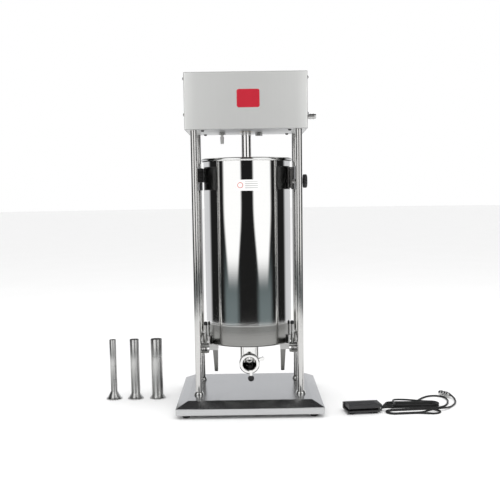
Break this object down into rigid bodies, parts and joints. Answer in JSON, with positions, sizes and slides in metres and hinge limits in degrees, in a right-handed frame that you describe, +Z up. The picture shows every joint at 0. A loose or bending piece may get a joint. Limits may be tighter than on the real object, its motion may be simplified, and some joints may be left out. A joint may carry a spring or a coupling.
{
  "type": "sausage stuffer",
  "caption": "Upright electric sausage stuffer: steel cylinder between columns, rack-driven piston, bottom outlet nut, loose stuffing tubes and a corded foot switch.",
  "frame": {"origin": "on the floor under the axis of the piston rod, in the middle of the base tray", "axes": "+Z up, -Y towards the operator and the outlet, +X towards the clamp knob and the foot switch"},
  "size_m": [0.9278, 0.37, 0.842],
  "materials": {
    "satin_steel": "satin sheet, fine vertical grain",
    "polished_steel": "mirror polished stainless",
    "tube_steel": "polished stainless tube",
    "steel": "machined stainless",
    "gear_steel": "cut and oiled gear steel",
    "plug_metal": "knurled nickel plated",
    "bronze": "oiled bronze",
    "grey_paint": "satin paint",
    "grey_plastic": "moulded",
    "black_plastic": "moulded, slight sheen",
    "rubber": "matte",
    "food_rubber": "food grade silicone",
    "cord_jacket": "smooth flexible jacket",
    "red_enamel": "glossy enamel",
    "label_film": "printed film"
  },
  "bodies": {
    "frame": {"base_tray": "satin_steel", "rubber_feet": "rubber", "foot_screws": "steel", "columns": "polished_steel", "column_collars": "polished_steel", "column_nuts": "steel", "head_plate": "satin_steel", "plate_screws": "steel", "head_posts": "steel", "head_cover": "satin_steel", "cover_screws": "steel", "upper_rod_bush": "bronze", "lower_rod_bush": "bronze", "badge_plate": "red_enamel", "pedal_socket": "plug_metal", "gearbox_cheeks": "steel", "shaft_bearings": "steel", "motor_bracket": "steel", "motor_casing": "grey_paint", "control_box": "grey_plastic", "limit_switch": "steel", "drain_plug": "steel", "upper_brackets": "steel", "stop_block": "steel", "lower_brackets": "steel", "trunnion_bushes": "black_plastic", "trunnions": "steel", "cylinder": "polished_steel", "cylinder_legs": "satin_steel", "outlet_elbow": "polished_steel", "cylinder_label": "label_film"},
    "piston": {"piston_plate": "satin_steel", "piston_seal": "food_rubber", "piston_nut": "steel", "piston_rod": "polished_steel"},
    "valve": {"release_valve": "steel"},
    "drive": {"drive_shaft": "steel", "pinion": "gear_steel", "driven_gear": "gear_steel"},
    "motor": {"motor_gear": "gear_steel"},
    "clamp_shoe": {"clamp_pad": "steel"},
    "clamp_spindle": {"clamp_screw": "steel", "clamp_knob": "black_plastic"},
    "mouth_seal": {"outlet_seal": "rubber"},
    "mouth_nut": {"outlet_nut": "polished_steel", "outlet_ball": "black_plastic"},
    "lock_left": {"lock_pin_left": "steel"},
    "lock_right": {"lock_pin_right": "steel"},
    "plunger": {"switch_plunger": "steel"},
    "tube_small": {"stuffing_tube_small": "tube_steel"},
    "tube_medium": {"stuffing_tube_medium": "tube_steel"},
    "tube_large": {"stuffing_tube_large": "tube_steel"},
    "foot_switch": {"pedal_base": "black_plastic", "pedal_feet": "rubber", "pedal_pin": "steel", "cord_gland": "rubber", "cord_hank": "cord_jacket", "cord_tail": "cord_jacket", "cord_plug": "plug_metal"},
    "treadle": {"pedal_treadle": "black_plastic"}
  },
  "joints": [
    {"name": "piston_lift", "type": "slide", "parent": "frame", "child": "piston", "axis": [0, 0, 1], "range_m": [0, 0.486]},
    {"name": "valve_lift", "type": "slide", "parent": "piston", "child": "valve", "axis": [0, 0, 1], "range_m": [0, 0.0035]},
    {"name": "drive_turn", "type": "hinge", "parent": "frame", "child": "drive", "pos_m": [0, 0.031, 0.773], "axis": [1, 0, 0], "range_deg": [-1239, 1]},
    {"name": "motor_turn", "type": "hinge", "parent": "frame", "child": "motor", "pos_m": [0, -0.029, 0.773], "axis": [1, 0, 0], "range_deg": [-1, 3714]},
    {"name": "clamp_slide", "type": "slide", "parent": "frame", "child": "clamp_shoe", "axis": [1, 0, 0], "range_m": [0, 0.006]},
    {"name": "clamp_turn", "type": "hinge", "parent": "clamp_shoe", "child": "clamp_spindle", "pos_m": [0.12, 0, 0.577], "axis": [1, 0, 0], "range_deg": [-1, 1441]},
    {"name": "mouth_slide", "type": "slide", "parent": "frame", "child": "mouth_seal", "axis": [0, -1, 0], "range_m": [0, 0.0121]},
    {"name": "mouth_turn", "type": "hinge", "parent": "mouth_seal", "child": "mouth_nut", "pos_m": [0, -0.09, 0.117], "axis": [0, -1, 0], "range_deg": [0, 1440]},
    {"name": "lock_left_lift", "type": "slide", "parent": "frame", "child": "lock_left", "axis": [0, 0, 1], "range_m": [0, 0.015]},
    {"name": "lock_right_lift", "type": "slide", "parent": "frame", "child": "lock_right", "axis": [0, 0, 1], "range_m": [0, 0.015]},
    {"name": "plunger_press", "type": "slide", "parent": "frame", "child": "plunger", "axis": [0, 0, 1], "range_m": [0, 0.003], "stiffness_N_per_m": 250, "springref_m": -0.003},
    {"name": "tube_small_lift", "type": "slide", "parent": "frame", "child": "tube_small", "axis": [0, 0, 1], "range_m": [0, 0.2]},
    {"name": "tube_medium_lift", "type": "slide", "parent": "frame", "child": "tube_medium", "axis": [0, 0, 1], "range_m": [0, 0.2]},
    {"name": "tube_large_lift", "type": "slide", "parent": "frame", "child": "tube_large", "axis": [0, 0, 1], "range_m": [0, 0.2]},
    {"name": "foot_switch_lift", "type": "slide", "parent": "frame", "child": "foot_switch", "axis": [0, 0, 1], "range_m": [0, 0.1]},
    {"name": "treadle_press", "type": "hinge", "parent": "foot_switch", "child": "treadle", "pos_m": [0.27676, -0.10897, 0.0175], "axis": [0.9925, 0.1219, 0], "range_deg": [0, 4], "stiffness_Nm_per_rad": 6, "springref_deg": -3.44}
  ],
  "couplings": [
    {"joint": "drive_turn", "follows": "piston_lift", "rad_per_m": -44.444},
    {"joint": "motor_turn", "follows": "piston_lift", "rad_per_m": 133.33},
    {"joint": "clamp_turn", "follows": "clamp_slide", "rad_per_m": 4188.8},
    {"joint": "mouth_slide", "follows": "mouth_turn", "m_per_rad": 0.00047746}
  ]
}
